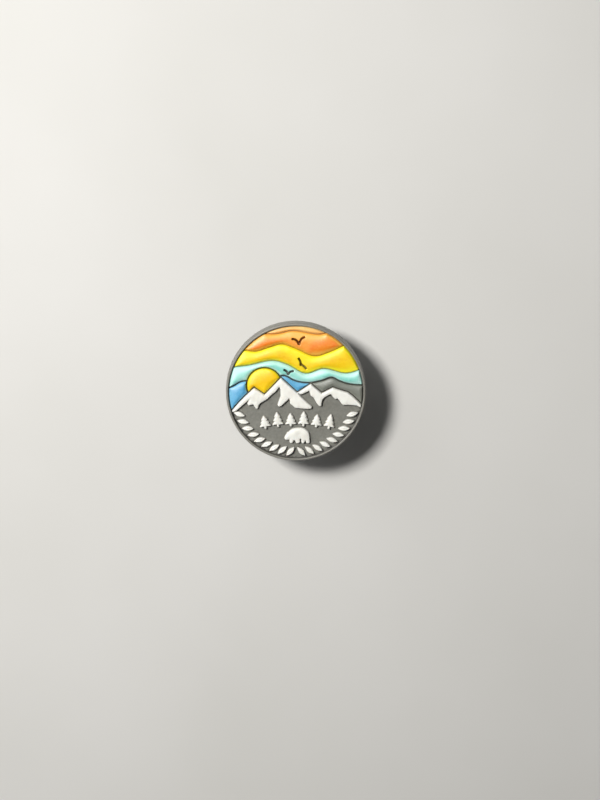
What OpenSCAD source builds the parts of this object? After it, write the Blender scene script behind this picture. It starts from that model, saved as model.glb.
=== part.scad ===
// Round soft-PVC relief badge with a steel post and a butterfly clutch.
// Millimetres. Origin: centre of the badge's back face, where the cloth lies.
// +Z points out of the decorated face, +Y to the top of the picture.
// The clutch stands below the back face, a cloth's thickness away.

/* [Badge] */
// Diameter of the moulded badge
badge_d = 27; // [27:0.5:30]
// Height of the rim's top over the back face
badge_t = 3.2; // [2.8:0.1:4]
// Width of the raised rim ring
rim_w = 0.55; // [0.55:0.05:0.65]
// Depth of the picture's floor below the rim's top
recess = 0.8; // [0.5:0.05:1]
// How far the side leans in, from the back to the face
draft = 0.1; // [0:0.02:0.1]
// Radius of the rim's and the back's rounded edges
edge_r = 0.2; // [0.1:0.02:0.2]

/* [Picture] */
// Radius of the circle that the picture fills
art_r = 12.8; // [12.6:0.05:12.85]
// Width of the groove between two colours
groove = 0.3; // [0.2:0.02:0.4]
// Height of the colour fills over the floor
fill_h = 0.75; // [0.5:0.05:0.85]
// Height of the white relief over the floor
white_h = 0.9; // [0.6:0.05:1]
// Radius of the sun
sun_r = 3.45; // [3.2:0.05:3.6]
// Height of the taller pine trees in the row
tree_h = 2.85; // [2.4:0.05:2.9]
// Width of the strokes that make up a gull
gull_w = 0.4; // [0.3:0.02:0.4]
// Width of a gull's body
gull_body = 0.6; // [0.4:0.05:0.7]
// Depth of a gull's strokes in the colour fill
gull_deep = 0.45; // [0.25:0.05:0.5]
// Width of a pine tree in the row
tree_w = 2.1; // [1.6:0.1:2.2]
// Distance from one pine tree to the next
tree_pitch = 2.42; // [2.3:0.02:2.5]

/* [Leaf border] */
// Number of leaves on each side of the bottom
leaf_count = 9; // [5:1:9]
// Length of a leaf
leaf_len = 2.3; // [1.6:0.1:2.4]
// Width of a leaf
leaf_w = 0.95; // [0.6:0.05:1]
// Angle from one leaf to the next, round the badge
leaf_step = 7.9; // [7.8:0.1:8.2]
// Slant of a leaf away from the radius
leaf_slant = 38; // [30:1:42]
// Extra angle between the two lowest leaves and the bottom
leaf_part = 1.2; // [1:0.1:1.5]

/* [Pin] */
// Diameter of the steel plate moulded into the back
plate_d = 10; // [9:0.5:12]
// Thickness of the steel plate
plate_t = 0.5; // [0.4:0.05:0.7]
// Thickness of the PVC lip that holds the plate
lip_t = 0.3; // [0.25:0.05:0.4]
// Diameter of the post
post_d = 1.14; // [1.0:0.02:1.2]
// Length of the post below the back face
post_len = 7.4; // [7:0.1:9]

/* [Clutch] */
// Cloth space between the back face and the clutch
cloth_gap = 2.2; // [2.1:0.1:3]
// Diameter of the clutch's face plate
clutch_d = 11.5; // [11:0.25:12.5]
// Thickness of the clutch's sheet metal
sheet_t = 0.35; // [0.3:0.05:0.4]
// Diameter of the clutch's cap
cap_d = 6.6; // [6.6:0.1:7.2]
// Depth of the cap's end below the clutch's face
cap_h = 3.4; // [3.4:0.05:3.6]
// Width of each wing's finger tab
wing_w = 5; // [4:0.1:5.6]

/* [Hidden] */
$fn = 120;

grey = "#7d7d76";
orange = "#f0892c";
pale_orange = "#f3b070";
yellow = "#f4d732";
teal = "#a6e0d0";
blue = "#62a6d4";
white = "#f4f4ea";
steel = "#b9b9b4";
nickel = "#d2d0c8";

badge_r = badge_d / 2;
rim_in_r = badge_r - rim_w;
floor_z = badge_t - recess;
rest_z = -cloth_gap;          // the clutch's cloth side
reach = 14;                   // past the picture's edge
curve_steps = 6;              // chords between two points of a curve
fit = 0.02;                   // gap round a piece that is moulded or crimped in
edge_steps = 5;               // chords in a rounded edge
lip_in_r = plate_d / 2 - 0.6; // opening of the lip that holds the plate
pocket_r = plate_d / 2 + fit;
pocket_z = lip_t + plate_t + fit;

// ---------------------------------------------------------------- plane geometry
function unit(v) = v / norm(v);
function left_of(v) = [-v.y, v.x];
function reversed(p) = [for (i = [len(p) - 1:-1:0]) p[i]];
function arc(c, r, a0, a1, n) =
    [for (i = [0:n]) c + r * [cos(a0 + (a1 - a0) * i / n), sin(a0 + (a1 - a0) * i / n)]];

// A point between b and c of the smooth curve through a, b, c and d
function between(a, b, c, d, t) =
    (2 * b + (c - a) * t + (2 * a - 5 * b + 4 * c - d) * t * t
        + (3 * b - a - 3 * c + d) * t * t * t) / 2;

// A smooth curve through the points p
function smooth(p, n = curve_steps) = let (last = len(p) - 1)
    concat([for (i = [0:last - 1]) for (s = [0:n - 1])
        between(p[max(i - 1, 0)], p[i], p[i + 1], p[min(i + 2, last)], s / n)], [p[last]]);

// The line p moved d to its left side, with mitred corners
function beside(p, d) = let (last = len(p) - 1) [for (i = [0:last])
    let (a = left_of(unit(p[max(i, 1)] - p[max(i, 1) - 1])),
         b = left_of(unit(p[min(i + 1, last)] - p[min(i + 1, last) - 1])))
    p[i] + d * (a + b) / (1 + a * b)];

// Everything below a line that runs from left to right, or above it
module below(line) polygon(concat([[-reach, -reach]], line, [[reach, -reach]]));
module above(line) polygon(concat([[-reach, reach]], line, [[reach, reach]]));

// ---------------------------------------------------------------- lines of the picture
sliver_line = smooth([[-reach, 12.6], [-7, 11.6], [-5, 11.3], [-3, 11.45], [-1.2, 11.88],
    [0.4, 11.88], [2.5, 11.48], [4.5, 11.25], [6.5, 11.6], [reach, 12.6]]);
orange_line = smooth([[-reach, 8.7], [-9.9, 8.2], [-7.6, 7.95], [-5, 8.75], [-2.6, 9.35],
    [0, 8.5], [3.5, 7.05], [6.5, 7.85], [9.4, 9.2], [reach, 11.4]]);
yellow_line = smooth([[-reach, 4.5], [-11.9, 4.9], [-9, 5.25], [-4.6, 6.15], [-1.5, 5.35],
    [1.9, 3.65], [5.4, 4.6], [9.5, 3.7], [12.3, 4.4], [reach, 5]]);
sky_line = smooth([[-reach, 0.4], [-12, 1.2], [-10.5, 2.05], [-8.6, 2.3], [-6, 2.2],
    [-3.6, 3], [-2, 3.2], [-0.5, 2.4], [1, 1.95], [2.9, 1.85], [5, 2.25], [6.9, 2.85],
    [8.5, 2.15], [10.5, 1.55], [reach, 1.3]]);
ridge_line = [[-reach, -5.6], [-12.2, -3.4], [-11, -2], [-10, -0.95], [-8, 0.95], [-6, -0.4],
    [-2.85, 2.9], [0.3, 0], [2.9, 1.75], [3.9, 0.85], [5, -0.1], [7.1, 1], [8.5, 0.5],
    [10, 0.05], [11, -0.7], [12, -1.65], [reach, -3.8]];
sun_at = [-6, 1.3];

// White caps: lower edges by hand; the ridge line trims their tops
snow_left_edge = [[-12.6, -4.2], [-12.2, -3.85], [-11.6, -3.75], [-10.4, -2.7], [-9.2, -1.6],
    [-8.85, -1.35], [-9.3, -2.3], [-9.1, -2.6], [-8.5, -2.45], [-8.2, -2.35], [-8.05, -2.65],
    [-7.6, -3.25], [-7.3, -3.15], [-7.15, -2.6], [-6.9, -2.2], [-6.2, -1.75], [-5.5, -1.35],
    [-4.6, -0.4], [-3.9, 0.1], [-3.3, 0.95], [-3.15, 1.05], [-2.95, 0.5], [-2.9, -0.8],
    [-3.2, -1.6], [-3.5, -2.5], [-3.3, -2.8], [-2.9, -2.75], [-2.3, -2.2], [-1.25, -1.2],
    [-1.15, -1.5], [-1.1, -2.2], [-0.6, -2.6], [-0.2, -3], [0.2, -3.1], [2.4, -3.25],
    [2.9, -3.2], [3.1, -2.85], [2, -1.9], [1, -0.9], [0.42, -0.28]];
snow_left_top = [[0.9, 0.4], [-2.8, 4.2], [-8, 3], [-13.4, -3]];
snow_right_edge = [[0.62, -0.2], [0.75, -0.38], [1.2, -0.35], [2.4, 0.2], [2.6, 0.35],
    [2.75, -0.2], [2.9, -0.7], [3.4, -1], [3.7, -1.5], [4, -2.1], [4.5, -2.7], [4.9, -2.65],
    [5, -1.9], [5.15, -1.4], [5.5, -1], [6.5, -0.4], [6.8, -0.4], [7.2, -1], [7.6, -1.35],
    [8, -1.2], [8.4, -1.6], [8.7, -2.1], [9.1, -2.5], [10, -2.4], [11.8, -2.6], [12.3, -2.9],
    [13, -2.9]];
snow_right_top = [[13, 0], [7, 3], [3, 3], [0.62, 0.6]];

// ---------------------------------------------------------------- badge
base_profile = concat(
    [[lip_in_r, 0]],
    arc([badge_r - edge_r, edge_r], edge_r, -90, 0, edge_steps),
    arc([badge_r - draft - edge_r, badge_t - edge_r], edge_r, 0, 90, edge_steps),
    arc([rim_in_r + edge_r, badge_t - edge_r], edge_r, 90, 180, edge_steps),
    [[rim_in_r, floor_z], [0, floor_z], [0, pocket_z], [pocket_r, pocket_z],
     [pocket_r, lip_t - fit], [lip_in_r, lip_t - fit]]);
key_holes = 6;                // holes in the plate that the PVC flows through
key_at = 3.1;
key_r = 0.65;

module key_ring(r, z0, z1) {
    for (a = [0:360 / key_holes:359])
        rotate(a) translate([key_at, 0, z0]) cylinder(r = r, h = z1 - z0);
}

module base_body() color(grey) {
    rotate_extrude() polygon(base_profile);
    key_ring(key_r - fit, lip_t, pocket_z);
}

// One raised piece of the picture, standing on the floor
module relief(h, hue) color(hue) translate([0, 0, floor_z])
    linear_extrude(h) intersection() {
        circle(art_r);
        children();
    }

module mountains(d) below(beside(ridge_line, d));

// A gull: a round body at the origin, and two bowed strokes from it
module gull(span, lift) {
    circle(d = gull_body);
    for (side = [-1, 1]) {
        wing = smooth([[0, 0], [side * span * 0.22, lift * 0.75], [side * span * 0.5, lift]], 4);
        polygon(concat(beside(wing, gull_w / 2), reversed(beside(wing, -gull_w / 2))));
    }
}

// A colour fill with a gull cut into its top
module engraved(hue, at, turn, span, lift) color(hue) difference() {
    relief(fill_h, hue) children();
    translate([at.x, at.y, floor_z + fill_h - gull_deep]) rotate(turn)
        linear_extrude(1) gull(span, lift);
}

module top_sliver() relief(fill_h, pale_orange) above(beside(sliver_line, groove / 2));

module orange_band() engraved(orange, [0.65, 9.5], 8, 2.6, 1.1)
    difference() {
        below(beside(sliver_line, -groove / 2));
        below(beside(orange_line, groove / 2));
    }

module yellow_band() engraved(yellow, [1, 5.45], -54, 2.7, 0.35)
    difference() {
        below(beside(orange_line, -groove / 2));
        below(beside(yellow_line, groove / 2));
    }

module teal_band() engraved(teal, [-1.45, 3.65], -8, 2, 0.65)
    difference() {
        below(beside(yellow_line, -groove / 2));
        below(beside(sky_line, groove / 2));
        translate(sun_at) circle(sun_r + groove / 2);
        mountains(groove / 2);
    }

// What lies under the sky line, over the mountains, from x0 to x1
module low_sky(x0, x1) difference() {
    intersection() {
        below(beside(sky_line, -groove / 2));
        translate([x0, -reach]) square([x1 - x0, 2 * reach]);
    }
    mountains(groove / 2);
}

module blue_left() relief(fill_h, blue) difference() {
    low_sky(-reach, sun_at.x);
    translate(sun_at) circle(sun_r + groove / 2);
}

module blue_valley() relief(fill_h, blue) low_sky(-2.85, 2.85);

module far_ridge() relief(fill_h, grey) low_sky(2.95, reach);

module sun() relief(fill_h, yellow) difference() {
    translate(sun_at) circle(sun_r - groove / 2);
    mountains(groove / 2);
}

module snow(edge, top) relief(white_h, white) intersection() {
    polygon(concat(edge, top));
    mountains(-groove / 2);
}

module snow_left() snow(snow_left_edge, snow_left_top);
module snow_right() snow(snow_right_edge, snow_right_top);

// A walking bear, facing left with its head low: chin, head and back, then its feet
bear_back = smooth([[-1.2, -9.2], [-1.5, -9.32], [-2, -9.3], [-2.18, -9.05], [-2, -8.55],
    [-1.72, -8.15], [-1.62, -7.86], [-1.38, -7.84], [-1.05, -7.5], [-0.5, -7.16], [0.3, -7.04],
    [1.3, -7.08], [2, -7.42], [2.48, -7.98], [2.62, -8.7], [2.66, -9.3]], 4);
bear_feet = [[2.68, -9.85], [2.5, -10], [2.1, -10], [1.98, -9.8], [1.92, -9.5], [1.72, -9.5],
    [1.68, -9.8], [1.56, -10], [1.2, -10], [1.08, -9.8], [1.04, -9.2], [0.9, -9.1], [0.76, -9.2],
    [0.74, -9.85], [0.6, -10], [0.12, -10], [-0.02, -9.85], [-0.12, -9.5], [-0.3, -9.4],
    [-0.48, -9.5], [-0.56, -9.8], [-0.7, -9.95], [-1.05, -9.95], [-1.2, -9.75]];
module bear() relief(white_h, white) polygon(concat(bear_back, bear_feet));

// A pine: half of its outline, as shares of its width and height
pine_half = [[0.1, 0], [0.1, 0.17], [0.5, 0.17], [0.24, 0.43], [0.39, 0.43], [0.17, 0.68],
    [0.28, 0.68], [0.03, 1]];
tree_base = -6.65;            // the middle of the row; the ends hang lower
tree_sag = 0.014;
tree_mid = 0.25;
tree_low = 0.86;              // the lower trees' share of the height
tree_lean = 1.6;              // degrees of lean for each millimetre from the middle

module tree(i) {
    x = (i - 3.5) * tree_pitch + tree_mid;
    tall = tree_h * (i % 2 == 0 ? 1 : tree_low);
    half = [for (p = pine_half) [p.x * tree_w, p.y * tall]];
    relief(white_h, white) translate([x, tree_base - tree_sag * x * x]) rotate(-tree_lean * x)
        polygon(concat(half, reversed([for (p = half) [-p.x, p.y]])));
}

leaf_at = 11.68;              // radius of the leaves' middles
leaf_steps = 8;
function leaf_side(s) = [for (i = [0:leaf_steps]) let (t = i / leaf_steps)
    [leaf_len * (t - 0.5), s * leaf_w / 2 * sin(180 * t)]];
leaf = concat(leaf_side(1), [for (i = [leaf_steps - 1:-1:1]) leaf_side(-1)[i]]);

module leaf_border() relief(white_h, white)
    for (side = [-1, 1]) for (i = [0:leaf_count - 1])
        rotate(-90 + side * (leaf_part + (i + 0.5) * leaf_step)) translate([leaf_at, 0])
            rotate(side * leaf_slant) polygon(leaf);

// ---------------------------------------------------------------- pin
module pin_plate() color(steel) difference() {
    translate([0, 0, lip_t]) cylinder(d = plate_d, h = plate_t);
    key_ring(key_r, -1, lip_t + plate_t + 1);
}

post_r = post_d / 2;
head_r = 1.3;                 // the post's welded head
head_z = 0.05;                // its face, just inside the back face
weld_r = 0.3;
neck_in = 0.12;               // depth of a groove for the jaws
neck_h = 0.5;
necks = [3.5, 5];             // depths of the grooves
point_h = 1.2;                // the tapered end, and the steeper cone at its tip
tip_r = 0.3;
tip_h = 0.35;
tip_flat_r = 0.1;
tip_flat_h = 0.04;
function neck(z) = let (r = post_r - neck_in, h = neck_h / 2)
    [[post_r, -z + h + neck_in], [r, -z + h], [r, -z - h], [post_r, -z - h - neck_in]];
post_profile = concat(
    [[0, lip_t], [head_r, lip_t], [head_r, head_z]],
    arc([post_r + weld_r, head_z - weld_r], weld_r, 90, 180, edge_steps),
    [for (z = necks) for (p = neck(z)) p],
    [[post_r, point_h - post_len], [tip_r, tip_h - post_len],
     [tip_flat_r, tip_flat_h - post_len], [0, -post_len]]);

module pin_post() color(steel) rotate_extrude() polygon(post_profile);

// ---------------------------------------------------------------- clutch
clutch_r = clutch_d / 2;
guide_r = 0.78;               // the hole that the post goes through
funnel_w = 0.35;              // its countersink
funnel_h = 0.18;
rim_h = 1;                    // depth of the face plate's turned rim
rim_turn = 0.35;
rim_t = 0.3;
rim_fillet = 0.15;
cap_r = cap_d / 2;
cap_t = 0.3;
flange_r = cap_r + 1;
tab_w = 1.8;                  // width of each tab that is crimped over the cap's flange
tab_in = flange_r - 0.6;
tab_out = flange_r + 0.35;
tab_t = 0.3;
tab_bend = 0.12;
flange_z = -sheet_t - cap_t;  // under side of the cap's flange

plate_profile = concat(
    [[guide_r, -funnel_h], [guide_r + funnel_w, 0]],
    arc([clutch_r - rim_turn, -rim_turn], rim_turn, 90, 0, edge_steps),
    [[clutch_r, -rim_h], [clutch_r - rim_t, -rim_h],
     [clutch_r - rim_t, -sheet_t - rim_fillet], [clutch_r - rim_t - rim_fillet, -sheet_t],
     [guide_r, -sheet_t]]);
tab_profile = [[tab_out - tab_t, -sheet_t], [tab_out, -sheet_t],
    [tab_out, flange_z - tab_t + tab_bend], [tab_out - tab_bend, flange_z - tab_t],
    [tab_in, flange_z - tab_t], [tab_in, flange_z - fit], [tab_out - tab_t, flange_z - fit]];

module clutch_plate() color(nickel) translate([0, 0, rest_z]) {
    rotate_extrude() polygon(plate_profile);
    intersection() {
        rotate_extrude() polygon(tab_profile);
        for (a = [45, 135])
            rotate(a) translate([-clutch_r, -tab_w / 2, -2]) cube([clutch_d, tab_w, 2]);
    }
}

cap_turn = 0.7;               // outer radius of the cap's drawn corner
flange_fillet = 0.2;
eye_r = guide_r + 0.1;        // holes for the post in the cap's end and in the spring
cap_profile = concat(
    [[cap_r - cap_t, -sheet_t], [flange_r, -sheet_t], [flange_r, flange_z],
     [cap_r + flange_fillet, flange_z], [cap_r, flange_z - flange_fillet]],
    arc([cap_r - cap_turn, -cap_h + cap_turn], cap_turn, 0, -90, edge_steps),
    [[eye_r, -cap_h], [eye_r, -cap_h + cap_t]],
    arc([cap_r - cap_turn, -cap_h + cap_turn], cap_turn - cap_t, -90, 0, edge_steps));
slot_w = 3.2;                 // window in the cap's side that each wing comes out of
slot_top = 2;
slot_in = 2.2;

module clutch_cap() color(nickel) translate([0, 0, rest_z]) difference() {
    rotate_extrude() polygon(cap_profile);
    for (side = [0, 180]) rotate(side)
        translate([slot_in, -slot_w / 2, -cap_h - 1]) cube([5, slot_w, cap_h + 1 - slot_top]);
}

// A bowed leaf over the wings' arms, with a hole for the post
spring_t = 0.15;
spring_w = 2.4;
spring_half = [[0.9, -0.47], [1.5, -0.62], [2, -1.1], [2.35, -1.62]];
spring_line = smooth(concat(reversed([for (p = spring_half) [-p.x, p.y]]), [[0, -0.44]],
    spring_half));
module clutch_spring() color(steel) translate([0, 0, rest_z]) difference() {
    rotate([90, 0, 0]) linear_extrude(spring_w, center = true)
        polygon(concat(beside(spring_line, spring_t / 2),
            reversed(beside(spring_line, -spring_t / 2))));
    translate([0, 0, -3]) cylinder(r = eye_r, h = 3);
}

// A wing: jaw at the post, arm through the cap's window, finger tab outside.
// Its side view is a bent strip; one outline trims the arm from above, another the tab.
jaw_x = 0.1;
jaw_w = 1.9;
notch_r = post_r + 0.05;
arm_w = 2.8;
ear_w = 3.8;                  // ears that can't pass the window
wing_line = smooth([[jaw_x, -1.3], [0.6, -1.3], [1.15, -1.35], [1.9, -1.95], [2.75, -2.62],
    [3.6, -3.1], [4.6, -3.95], [5.35, -5.1], [5.65, -5.8], [6.05, -6.3]]);
arm_outline = [[jaw_x, jaw_w / 2], [1.1, jaw_w / 2], [1.4, arm_w / 2], [1.5, ear_w / 2],
    [1.95, ear_w / 2], [2.05, arm_w / 2], [3.5, arm_w / 2]];
tab_outline = smooth([[arm_w / 2, -2.6], [arm_w / 2, -3.1], [wing_w / 2 - 0.25, -3.9],
    [wing_w / 2, -4.7], [wing_w / 2 - 0.1, -5.6], [wing_w / 2 - 0.9, -6.25], [0.6, -6.5]]);

module wing() color(nickel) translate([0, 0, rest_z]) difference() {
    intersection() {
        rotate([90, 0, 0]) linear_extrude(wing_w + 2, center = true)
            polygon(concat(beside(wing_line, sheet_t / 2),
                reversed(beside(wing_line, -sheet_t / 2))));
        union() {
            translate([0, 0, -3.3]) linear_extrude(3)
                polygon(concat(arm_outline, reversed([for (p = arm_outline) [p.x, -p.y]])));
            translate([3.3, 0, 0]) rotate([90, 0, 90]) linear_extrude(4)
                polygon(concat(tab_outline, reversed([for (p = tab_outline) [-p.x, p.y]])));
        }
    }
    translate([0, 0, -3]) cylinder(r = notch_r, h = 3);
}

module wing_right() wing();
module wing_left() rotate(180) wing();

base_body();
top_sliver();
orange_band();
yellow_band();
teal_band();
blue_left();
blue_valley();
sun();
far_ridge();
snow_left();
snow_right();
bear();
tree(1);  // tree_1
tree(2);  // tree_2
tree(3);  // tree_3
tree(4);  // tree_4
tree(5);  // tree_5
tree(6);  // tree_6
leaf_border();
pin_plate();
pin_post();
clutch_plate();
clutch_cap();
clutch_spring();
wing_left();
wing_right();
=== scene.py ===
import math

import bmesh
import bpy
import numpy as np
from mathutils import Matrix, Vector, noise
from mathutils.geometry import delaunay_2d_cdt


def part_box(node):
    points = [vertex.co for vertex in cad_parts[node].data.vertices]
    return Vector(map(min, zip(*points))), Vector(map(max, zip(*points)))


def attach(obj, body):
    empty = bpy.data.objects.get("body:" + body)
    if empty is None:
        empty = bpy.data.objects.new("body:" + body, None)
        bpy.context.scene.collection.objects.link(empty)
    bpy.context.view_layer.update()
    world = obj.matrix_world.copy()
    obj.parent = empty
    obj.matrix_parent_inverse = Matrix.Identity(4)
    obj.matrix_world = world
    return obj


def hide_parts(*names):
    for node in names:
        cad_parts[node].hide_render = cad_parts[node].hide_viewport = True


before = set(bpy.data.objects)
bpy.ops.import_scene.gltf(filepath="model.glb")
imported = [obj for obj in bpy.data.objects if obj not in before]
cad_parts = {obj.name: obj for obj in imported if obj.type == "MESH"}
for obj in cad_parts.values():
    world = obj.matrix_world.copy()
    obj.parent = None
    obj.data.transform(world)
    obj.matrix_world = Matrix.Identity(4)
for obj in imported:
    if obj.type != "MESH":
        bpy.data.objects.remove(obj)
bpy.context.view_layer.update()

MM = 0.001                # lengths below are in millimetres, in the CAD's frame


def box_mm(node):
    """Lowest and highest corner of a CAD node, in millimetres."""
    low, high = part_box(node)
    return np.array(low) / MM, np.array(high) / MM


# Sizes that the frame gives
BADGE_R = box_mm("base_body")[1][0]
BADGE_TOP = box_mm("base_body")[1][2]
FLOOR_Z = box_mm("orange_band")[0][2]     # the picture's floor
FILL_TOP = box_mm("orange_band")[1][2]
PLATE_LOW, PLATE_HIGH = box_mm("pin_plate")
PLATE_R = PLATE_HIGH[0]
POST_LOW, POST_HIGH = box_mm("pin_post")
FACE_LOW, FACE_HIGH = box_mm("clutch_plate")
FACE_R = FACE_HIGH[0]
FACE_Z = FACE_HIGH[2]                     # the clutch's cloth side
CAP_LOW, CAP_HIGH = box_mm("clutch_cap")
FLANGE_R = CAP_HIGH[0]
GROUND_Z = box_mm("wing_right")[0][2]


# ---------------- meshes
WELD = 1e-8               # metres, under which two points are one
ON_AXIS = 1e-6            # a radius under this is a point on the axis
NEARLY_STRAIGHT = math.radians(88)    # half the angle of a corner that needs no rounding
SIDE_SHARE = 0.48         # the most of a side that one rounded corner takes
CUT_SHARP = 30            # degrees over which an edge of a cut piece stays sharp


def add_piece(name, points, faces, body, material, slot, replaces=(), sharp=40.0, marks=None):
    """A mesh piece from points in millimetres, riding on a CAD body.

    Edges over sharp degrees stay sharp, and at 0 all are smooth. marks are values for each
    point, by name, that its material reads."""
    mesh = bpy.data.meshes.new(name)
    mesh.from_pydata([tuple(p) for p in np.asarray(points, float) * MM], [], faces)
    for mark, values in (marks or {}).items():
        mesh.attributes.new(mark, "FLOAT", "POINT").data.foreach_set(
            "value", np.array(values, np.float32))
    mesh.materials.append(material)
    mesh.polygons.foreach_set("use_smooth", [True] * len(mesh.polygons))
    mesh.update()
    piece = bpy.data.objects.new(name, mesh)
    bpy.context.collection.objects.link(piece)
    outward(piece)
    if sharp:
        mesh.set_sharp_from_angle(angle=math.radians(sharp))
    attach(piece, body)
    if replaces:
        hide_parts(*replaces)
    return piece


def outward(piece):
    """Turns every face of a closed mesh to look outwards."""
    shape = bmesh.new()
    shape.from_mesh(piece.data)
    bmesh.ops.remove_doubles(shape, verts=shape.verts, dist=WELD)
    bmesh.ops.recalc_face_normals(shape, faces=shape.faces)
    shape.to_mesh(piece.data)
    shape.free()


def rounded(corners, steps=4):
    """A closed outline of corners (x, y, radius), each rounded by an arc of its radius."""
    out = []
    count = len(corners)
    for i, (x, y, radius) in enumerate(corners):
        here = np.array([x, y], float)
        back = np.array(corners[i - 1][:2], float) - here
        ahead = np.array(corners[(i + 1) % count][:2], float) - here
        back_len, ahead_len = np.linalg.norm(back), np.linalg.norm(ahead)
        back, ahead = back / back_len, ahead / ahead_len
        half = math.acos(max(-1.0, min(1.0, float(back @ ahead)))) / 2
        if radius <= 0 or half > NEARLY_STRAIGHT:
            out.append(here)
            continue
        cut = min(radius / math.tan(half), SIDE_SHARE * back_len, SIDE_SHARE * ahead_len)
        size = cut * math.tan(half)
        bisector = back + ahead
        centre = here + bisector / np.linalg.norm(bisector) * size / math.sin(half)
        start = here + back * cut - centre
        end = here + ahead * cut - centre
        a0 = math.atan2(start[1], start[0])
        turn = (math.atan2(end[1], end[0]) - a0 + math.pi) % (2 * math.pi) - math.pi
        for k in range(steps + 1):
            a = a0 + turn * k / steps
            out.append(centre + size * np.array([math.cos(a), math.sin(a)]))
    return out


def lathe(outline, segments=160, closed=True):
    """Points and faces of an outline of (radius, z) turned about the Z axis.

    No wall runs between two points on the axis."""
    points, rings, faces = [], [], []
    for radius, z in outline:
        if radius < ON_AXIS:
            rings.append([len(points)] * segments)
            points.append((0, 0, z))
        else:
            rings.append(list(range(len(points), len(points) + segments)))
            points += [(radius * math.cos(a), radius * math.sin(a), z)
                       for a in np.arange(segments) * 2 * math.pi / segments]
    for i, low in enumerate(rings if closed else rings[:-1]):
        high = rings[(i + 1) % len(rings)]
        if low[0] == low[1] and high[0] == high[1]:
            continue
        for s in range(segments):
            t = (s + 1) % segments
            face = [low[s], low[t], high[t], high[s]]
            faces.append([v for k, v in enumerate(face) if v != face[k - 1]])
    return points, faces


def block(across, along, up):
    """A box between two values of X, of Y and of Z."""
    points = [(x, y, z) for x in across for y in along for z in up]
    return points, [[0, 1, 3, 2], [4, 6, 7, 5], [0, 4, 5, 1], [2, 3, 7, 6], [0, 2, 6, 4],
                    [1, 5, 7, 3]]


def joined(*parts):
    """Several (points, faces) as one."""
    points, faces = [], []
    for more_points, more_faces in parts:
        start = len(points)
        points += [tuple(p) for p in more_points]
        faces += [[v + start for v in f] for f in more_faces]
    return points, faces


def cut_away(piece, points, faces):
    """Cuts a closed shape out of a piece's mesh."""
    mesh = bpy.data.meshes.new("cutter")
    mesh.from_pydata([tuple(p) for p in np.asarray(points, float) * MM], [], faces)
    cutter = bpy.data.objects.new("cutter", mesh)
    bpy.context.collection.objects.link(cutter)
    outward(cutter)
    step = piece.modifiers.new("cut", "BOOLEAN")
    step.operation = "DIFFERENCE"
    step.solver = "EXACT"
    step.object = cutter
    bpy.context.view_layer.update()
    shown = piece.evaluated_get(bpy.context.evaluated_depsgraph_get())
    result = bpy.data.meshes.new_from_object(shown)
    piece.modifiers.remove(step)
    old = piece.data
    result.set_sharp_from_angle(angle=math.radians(CUT_SHARP))
    piece.data = result
    piece.data.name = old.name
    bpy.data.meshes.remove(old)
    bpy.data.objects.remove(cutter)
    bpy.data.meshes.remove(mesh)


def soften_edges(piece, width, angle=35):
    """Rounds the sharp edges of a cut piece."""
    bevel = piece.modifiers.new("edges", "BEVEL")
    bevel.width = width * MM
    bevel.segments = 2
    bevel.limit_method = "ANGLE"
    bevel.angle_limit = math.radians(angle)
    bevel.harden_normals = True


def moved(points, faces, at):
    """A shape set at a place in X and Y."""
    return [(x + at[0], y + at[1], z) for x, y, z in points], faces


def rod(radius, z0, z1, at=(0, 0)):
    """A plain round rod along Z, used for cutting."""
    return moved(*lathe([(0, z0), (radius, z0), (radius, z1), (0, z1)], 48), at)


def skinned(rings):
    """Points and faces of a closed shape through rings of equally many points."""
    n = len(rings[0])
    last = len(rings) - 1
    faces = []
    for k in range(last):
        for i in range(n):
            j = (i + 1) % n
            faces.append([k * n + i, k * n + j, (k + 1) * n + j, (k + 1) * n + i])
    faces.append(list(range(n)))
    faces.append([last * n + i for i in reversed(range(n))])
    return [point for ring in rings for point in ring], faces


def sector(outline, a0, a1, steps):
    """A closed outline of (radius, z) turned from angle a0 to a1, with flat ends."""
    angles = [a0 + (a1 - a0) * k / steps for k in range(steps + 1)]
    return skinned([[(r * math.cos(a), r * math.sin(a), z) for r, z in outline]
                    for a in angles])


def smooth_line(points, steps=8):
    """A Catmull-Rom curve through points."""
    p = [np.array(q, float) for q in points]
    last = len(p) - 1
    out = []
    for i in range(last):
        a, b, c, d = p[max(i - 1, 0)], p[i], p[i + 1], p[min(i + 2, last)]
        for k in range(steps):
            t = k / steps
            out.append((2 * b + (c - a) * t + (2 * a - 5 * b + 4 * c - d) * t * t
                        + (3 * b - a - 3 * c + d) * t**3) / 2)
    return np.array(out + [p[last]])


def strip(line, half_width, thick, edge):
    """A bent strip of sheet metal: line is its side view in X and Z, and half_width gives
    its half width at each share of its length. Its edges are rounded."""
    run = np.r_[0, np.cumsum(np.linalg.norm(np.diff(line, axis=0), axis=1))]
    share = run / run[-1]
    along = np.gradient(line, axis=0)
    along /= np.linalg.norm(along, axis=1)[:, None]
    normal = np.c_[-along[:, 1], along[:, 0]]
    rings = []
    for here, out, at in zip(line, normal, share):
        w = half_width(at)
        section = rounded([(-w, -thick / 2, edge), (w, -thick / 2, edge), (w, thick / 2, edge),
                           (-w, thick / 2, edge)])
        rings.append([(here[0] + out[0] * d, y, here[1] + out[1] * d) for y, d in section])
    return skinned(rings)


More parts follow.
